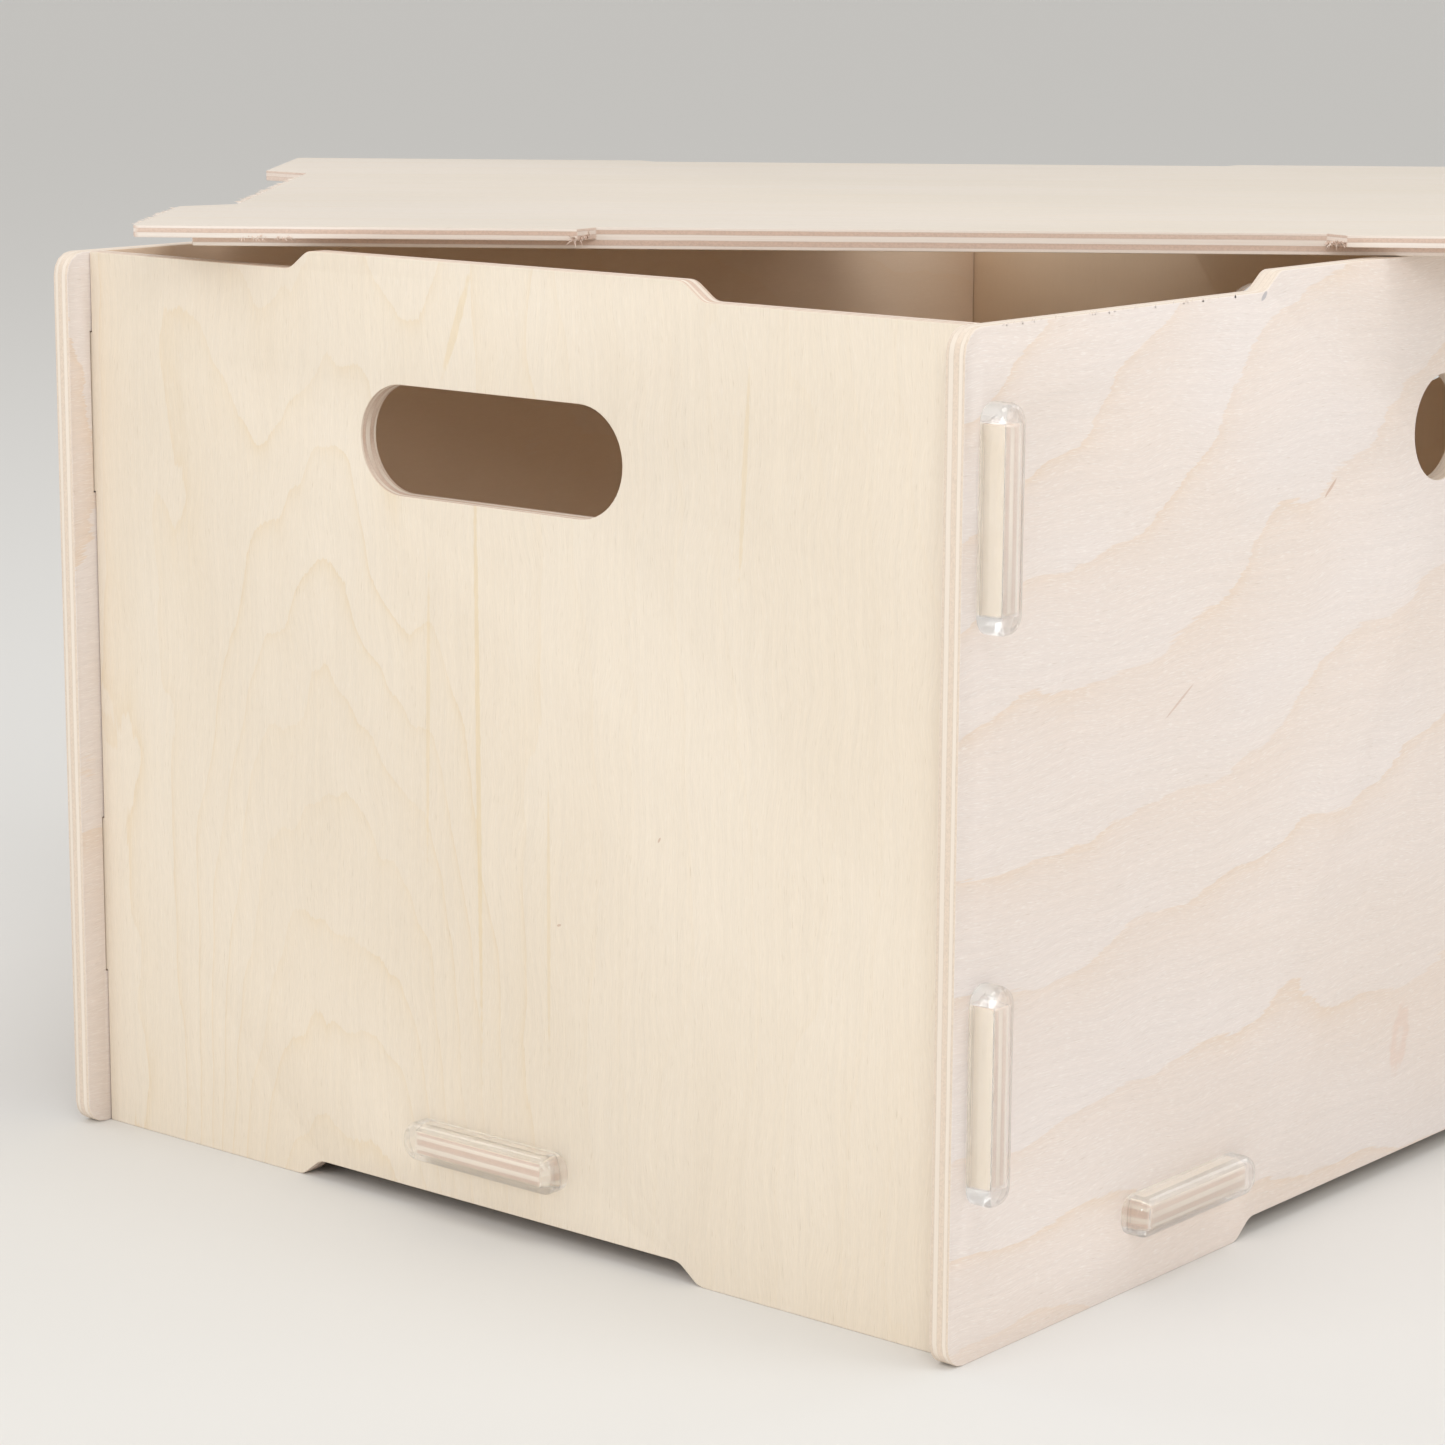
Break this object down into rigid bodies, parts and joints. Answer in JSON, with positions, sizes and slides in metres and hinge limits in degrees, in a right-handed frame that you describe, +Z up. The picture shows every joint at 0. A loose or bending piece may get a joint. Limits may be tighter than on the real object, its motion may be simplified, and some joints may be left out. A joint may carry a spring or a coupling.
{
  "type": "lidded toy box",
  "caption": "Flat-pack birch plywood toy box with slotted corners, clear caps over the tenons, hand holes, a raised rim and a loose notched lid lying turned on top.",
  "frame": {"origin": "the middle of the inside floor, which is the top face of the bottom board", "axes": "+Z up; +X along the box's length, towards the right end board; -Y out of the front long board"},
  "size_m": [0.575, 0.6, 0.2923],
  "materials": {
    "birch_long_boards": "bare, sanded, pinkish white, grain upright to level swirls",
    "birch_end_boards": "bare, sanded, cream, grain upright",
    "birch_lid": "bare, sanded, pale, grain along its length",
    "clear_plastic": "clear, glossy, moulded"
  },
  "bodies": {
    "box": {"front_panel": "birch_long_boards", "back_panel": "birch_long_boards", "left_end_panel": "birch_end_boards", "right_end_panel": "birch_end_boards", "bottom_board": "birch_end_boards", "cap_front_left_lower": "clear_plastic", "cap_front_left_upper": "clear_plastic", "cap_front_left_floor": "clear_plastic", "cap_front_right_lower": "clear_plastic", "cap_front_right_upper": "clear_plastic", "cap_front_right_floor": "clear_plastic", "cap_back_left_lower": "clear_plastic", "cap_back_left_upper": "clear_plastic", "cap_back_left_floor": "clear_plastic", "cap_back_right_lower": "clear_plastic", "cap_back_right_upper": "clear_plastic", "cap_back_right_floor": "clear_plastic", "cap_left_end_floor": "clear_plastic", "cap_right_end_floor": "clear_plastic"},
    "lid": {"lid": "birch_lid"}
  },
  "joints": [
    {"name": "lid_lift", "type": "slide", "parent": "box", "child": "lid", "axis": [0, 0, 1], "range_m": [0, 0.3]}
  ]
}
